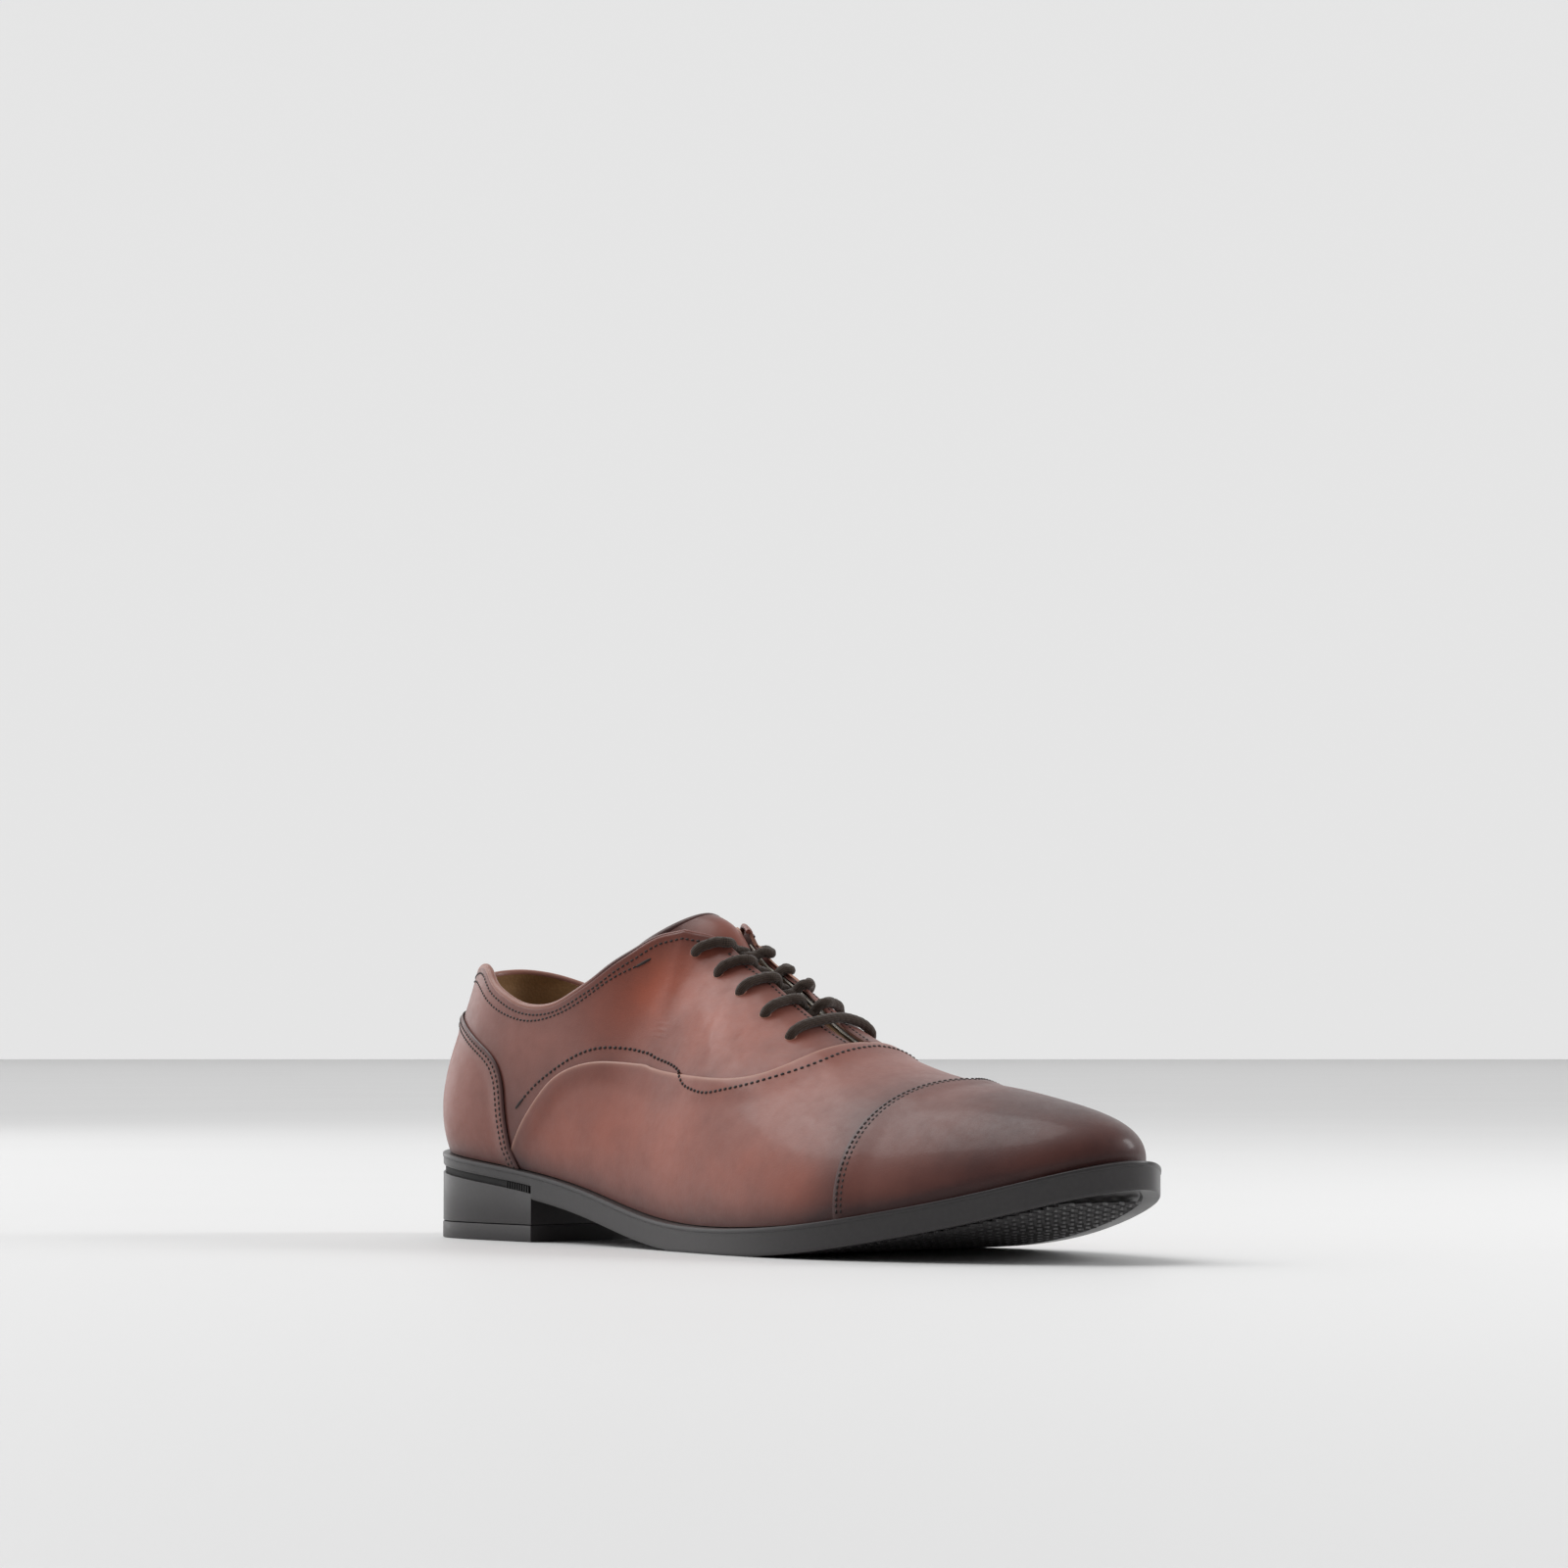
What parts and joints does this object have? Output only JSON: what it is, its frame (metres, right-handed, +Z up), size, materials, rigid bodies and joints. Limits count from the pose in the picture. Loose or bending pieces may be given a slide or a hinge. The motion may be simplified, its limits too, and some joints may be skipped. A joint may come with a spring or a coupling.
{
  "type": "oxford shoe",
  "caption": "Leather cap-toe oxford shoe for the right foot, closed lacing over a tongue, low stacked-look heel and thin flexible sole",
  "frame": {"origin": "centre of the bounding box at floor height, where the shoe stands on heel and ball", "axes": "+X to the toe along the sole's length, +Y to the inner (medial) side, +Z up"},
  "size_m": [0.3025, 0.1027, 0.105],
  "materials": {
    "upper_leather": "burnished smooth calf, darker at the toe and along the seams",
    "lining_leather": "matte smooth",
    "sock_leather": "matte smooth",
    "lining_fabric": "twill",
    "stiffener": "resin-stiffened fleece",
    "canvas": "plain weave",
    "eyelet_metal": "dark lacquered",
    "lace_cord": "tight round braid",
    "aglet_plastic": "smooth",
    "sole": "satin, dark brown",
    "welt": "satin",
    "heel_band": "ribbed, matte",
    "top_piece": "matte",
    "board": "fibre board",
    "foam": "soft foam",
    "cork": "granular",
    "shank_steel": "ribbed strip"
  },
  "bodies": {
    "rear": {"vamp": "upper_leather", "quarter_lateral": "upper_leather", "quarter_medial": "upper_leather", "counter_cover": "upper_leather", "heel_lining": "lining_leather", "quarter_lining_lateral": "lining_leather", "quarter_lining_medial": "lining_leather", "sock_lining": "sock_leather", "vamp_lining": "lining_fabric", "heel_stiffener": "stiffener", "facing_stay_lateral": "canvas", "facing_stay_medial": "canvas", "eyelet_lateral_1": "eyelet_metal", "eyelet_lateral_2": "eyelet_metal", "eyelet_lateral_3": "eyelet_metal", "eyelet_lateral_4": "eyelet_metal", "eyelet_lateral_5": "eyelet_metal", "eyelet_medial_1": "eyelet_metal", "eyelet_medial_2": "eyelet_metal", "eyelet_medial_3": "eyelet_metal", "eyelet_medial_4": "eyelet_metal", "eyelet_medial_5": "eyelet_metal", "lace": "lace_cord", "aglet_lateral": "aglet_plastic", "aglet_medial": "aglet_plastic", "outsole_rear": "sole", "heel_seat": "sole", "heel_block": "sole", "welt": "welt", "heel_band": "heel_band", "top_piece": "top_piece", "insole_board": "board", "heel_pad": "foam", "cork_filler": "cork", "shank": "shank_steel"},
    "toe": {"outsole_forepart": "sole", "toe_cap": "upper_leather", "toe_puff": "stiffener"},
    "tongue": {"tongue": "upper_leather", "tongue_lining": "lining_leather"}
  },
  "joints": [
    {"name": "forefoot_flex", "type": "hinge", "parent": "rear", "child": "toe", "pos_m": [0.062, 0, 0.01032], "axis": [0, -1, 0], "range_deg": [0, 30], "stiffness_Nm_per_rad": 2, "deforming": ["welt", "insole_board", "sock_lining", "cork_filler", "vamp", "vamp_lining"]},
    {"name": "tongue_swing", "type": "hinge", "parent": "rear", "child": "tongue", "pos_m": [0.03613, 0.00124, 0.05392], "axis": [0, -1, 0], "range_deg": [0, 15], "stiffness_Nm_per_rad": 0.3}
  ]
}
